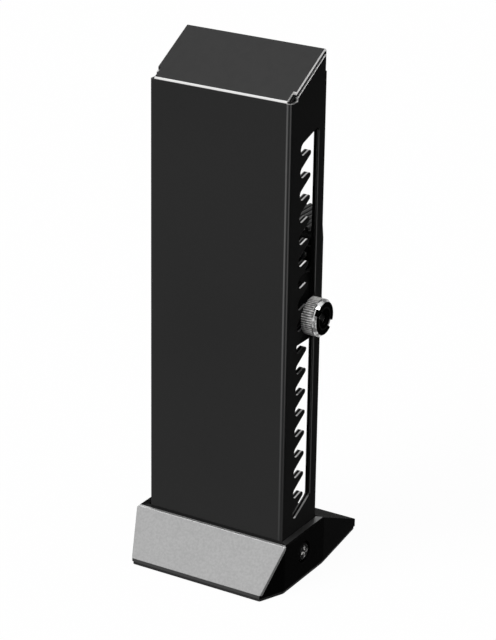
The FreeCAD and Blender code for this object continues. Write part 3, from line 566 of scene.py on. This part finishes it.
SAME_FINISH = {
    "side_screw_left": "side_screw_right",
    "side_nut_left": "base_plate_screws",
    "side_nut_right": "base_plate_screws",
    "magnet_front_right": "magnet_front_left",
    "magnet_rear_left": "magnet_front_left",
    "magnet_rear_right": "magnet_front_left",
    "rod_washer_left": "lock_rod",
    "rod_washer_right": "lock_rod",
}


def dress_nodes():
    """Every solid gets its finish."""
    for name, node in NODES.items():
        node.data.materials[0] = FINISHES[SAME_FINISH.get(name, name)]


def finish_faces(name, material, wanted):
    """Another finish on the faces of a solid that a test picks by their centre and normal."""
    mesh = NODES[name].data
    mesh.materials.append(material)
    index = len(mesh.materials) - 1
    for face in mesh.polygons:
        if wanted(face.center, face.normal):
            face.material_index = index


def is_slot_floor(centre, normal):
    """Faces of the slots' teeth that look up, where the rod rubs; their bare metal is partly a
    painted highlight of faces lit from above.
    """
    in_slot = SLOT_FRONT < centre.y < SLOT_REAR and centre.z < FLANGE_FOOT
    return in_slot and abs(normal.x) < 0.1 and normal.z > 0.3 and abs(centre.x) > HALF - 3 * SHEET


def is_slot_rear(centre, normal):
    """Straight rear edges of the slots."""
    at_rear = abs(centre.y - SLOT_REAR) < 0.1 * MM and centre.z < FLANGE_FOOT
    return normal.y < -FACING and at_rear


def is_flange_edge(centre, normal):
    """Cut edges of the flange and of the walls below it."""
    if centre.z < FLANGE_FOOT:
        return False
    depth = (TOP_FRONT_CORNER - centre).dot(SLOPE_NORMAL)
    flange_side = abs(normal.x) > FACING and HALF - 2.5 * MM < abs(centre.x) < HALF - 0.2 * MM
    wall_top = normal.dot(SLOPE_NORMAL) > 0.98 and depth > 1.2 * SHEET
    return (flange_side and depth < 1.4 * SHEET) or wall_top


def is_notch_edge(centre, normal):
    """Cut edges of the relief notch on the knob's side, given bright steel as a painted highlight.
    """
    notch_floor = normal.z > FACING and centre.y < RELIEF_REAR
    notch_rear = normal.y < -FACING and abs(centre.y - RELIEF_REAR) < 0.3 * MM
    return centre.z > FLANGE_FOOT and centre.x > 0 and (notch_floor or notch_rear)


def is_top_bend(centre, normal):
    """The bend between the front face and the sloped top, given bare steel as a painted highlight
    line.
    """
    turn = math.degrees(math.atan2(normal.z, -normal.y))
    turned = BEND_TURN_LOW < turn < BEND_TURN_HIGH and normal.y < 0
    return centre.z > FLANGE_FOOT and abs(normal.x) < 0.05 and turned


def is_front_lip(centre, normal):
    """The foot's low front edge."""
    return normal.y < -FACING and centre.z < LIP_HEIGHT


def is_front_rim(centre, normal):
    """The foot's level rim in front of the column, lighter in colour as a painted sheen."""
    in_front = abs(centre.x) < HALF and centre.y < 0
    return normal.z > FACING and centre.z > RIM_HEIGHT and in_front


def is_rubbed_rim(centre, normal):
    """The foot's level rim on the knob's side, smoothed by hands."""
    return normal.z > FACING and centre.z > RIM_HEIGHT and centre.x > HALF


def is_cross_recess(centre, _normal):
    """Inside of the side screws' cross recesses, partly rubbed bright by a driver and partly a
    painted glint.
    """
    away = (centre - SCREW_CENTRE).yz.length
    return away < RECESS_REACH and SCREW_SEAT < abs(centre.x) < SCREW_FACE - 0.3 * MM


def is_rod_end(centre, normal):
    """The rod's end in the knob's slot."""
    return normal.x > FACING and centre.x > HALF


def seen_share(tree):
    """1 for rays that show a surface to the camera or in a reflection, 0 for rays that light."""
    path = place(tree, "ShaderNodeLightPath").outputs
    shown = maths(tree, "ADD", path["Is Camera Ray"], path["Is Glossy Ray"])
    return maths(tree, "ADD", shown, path["Is Transmission Ray"], clamp=True)


def make_floor():
    """Plain pale floor that keeps a faint shadow."""
    mesh = bpy.data.meshes.new("floor")
    half = FLOOR_SIZE / 2
    corners = [(-half, -half, 0), (half, -half, 0), (half, half, 0), (-half, half, 0)]
    mesh.from_pydata(corners, [], [(0, 1, 2, 3)])
    floor = bpy.data.objects.new("floor", mesh)
    bpy.context.scene.collection.objects.link(floor)
    material = bpy.data.materials.new("pale_floor")
    material.use_nodes = True
    tree = material.node_tree
    tree.nodes.clear()
    shade = place(tree, "ShaderNodeBsdfDiffuse", {"Color": grey(FLOOR_SHADE_COLOR)})
    pale = place(tree, "ShaderNodeBsdfDiffuse", {"Color": grey(FLOOR_SEEN_COLOR)})
    glow = place(tree, "ShaderNodeEmission", {"Color": grey(1.0), "Strength": 1.0})
    shown = place(tree, "ShaderNodeMixShader",
                  {0: FLOOR_GLOW_SHARE, 1: pale.outputs[0], 2: glow.outputs[0]})
    both = place(tree, "ShaderNodeMixShader",
                 {0: seen_share(tree), 1: shade.outputs[0], 2: shown.outputs[0]})
    place(tree, "ShaderNodeOutputMaterial", {"Surface": both.outputs[0]})
    mesh.materials.append(material)


def make_world():
    """White room for what is seen, and a low even light for what it lights."""
    world = bpy.data.worlds.new("white_room")
    world.use_nodes = True
    tree = world.node_tree
    tree.nodes.clear()
    level = smooth_step(tree, seen_share(tree), 0.0, 1.0, SHADE_LEVEL, 1.0)
    back = place(tree, "ShaderNodeBackground", {"Color": grey(1.0), "Strength": level})
    place(tree, "ShaderNodeOutputWorld", {"Surface": back.outputs[0]})
    bpy.context.scene.world = world


def make_lamp(name, direction, strength, angle):
    """Distant lamp with soft edges."""
    light = bpy.data.lights.new(name, "SUN")
    light.energy = strength
    light.angle = math.radians(angle)
    lamp = bpy.data.objects.new(name, light)
    lamp.rotation_euler = direction.to_track_quat("Z", "Y").to_euler()
    bpy.context.scene.collection.objects.link(lamp)
    return lamp


def make_lights():
    """Key from the upper front left, softbox overhead, and a card that only bare metal shows."""
    key = make_lamp("key", KEY_DIRECTION, KEY_STRENGTH, KEY_ANGLE)
    key.visible_glossy = False
    make_lamp("softbox", SOFTBOX_DIRECTION, SOFTBOX_STRENGTH, SOFTBOX_ANGLE)
    card = make_lamp("card", CARD_DIRECTION, CARD_STRENGTH, CARD_ANGLE)
    card.visible_diffuse = False


def make_camera():
    """Camera at the photograph's viewing angle."""
    azimuth = math.radians(CAMERA_AZIMUTH)
    elevation = math.radians(CAMERA_ELEVATION)
    back = Vector((math.sin(azimuth) * math.cos(elevation),
                   -math.cos(azimuth) * math.cos(elevation), math.sin(elevation)))
    right = (-back).cross(Vector((0, 0, 1))).normalized()
    roll = Matrix.Rotation(math.radians(CAMERA_ROLL), 3, back)
    right = roll @ right
    up = back.cross(right)
    data = bpy.data.cameras.new("camera")
    data.lens = LENS_MM
    data.sensor_width = SENSOR_MM
    camera = bpy.data.objects.new("camera", data)
    turn = Matrix((right, up, back)).transposed().to_4x4()
    camera.matrix_world = Matrix.Translation(CAMERA_TARGET + back * CAMERA_DISTANCE) @ turn
    bpy.context.scene.collection.objects.link(camera)
    bpy.context.scene.camera = camera


dress_nodes()
finish_faces("column_cover", COVER_CUT, is_slot_floor)
finish_faces("column_cover", COVER_REAR_CUT, is_slot_rear)
finish_faces("column_frame", FRAME_CUT, is_slot_floor)
finish_faces("column_cover", CUT_STEEL, is_flange_edge)
finish_faces("column_cover", RUBBED_AND_HIGHLIGHT_STEEL, is_notch_edge)
finish_faces("column_cover", BEND_HIGHLIGHT_STEEL, is_top_bend)
finish_faces("base_housing", LIP_GLOSS, is_front_lip)
finish_faces("base_housing", RIM_PAINTED_SHEEN, is_front_rim)
finish_faces("base_housing", RIM_GLOSS, is_rubbed_rim)
finish_faces("lock_rod", SCREW_BLACK, is_rod_end)
finish_faces("side_screw_right", RUBBED_AND_HIGHLIGHT_STEEL, is_cross_recess)
finish_faces("side_screw_left", RUBBED_AND_HIGHLIGHT_STEEL, is_cross_recess)
make_floor()
make_world()
make_lights()
make_camera()
bpy.context.scene.view_settings.view_transform = "Standard"
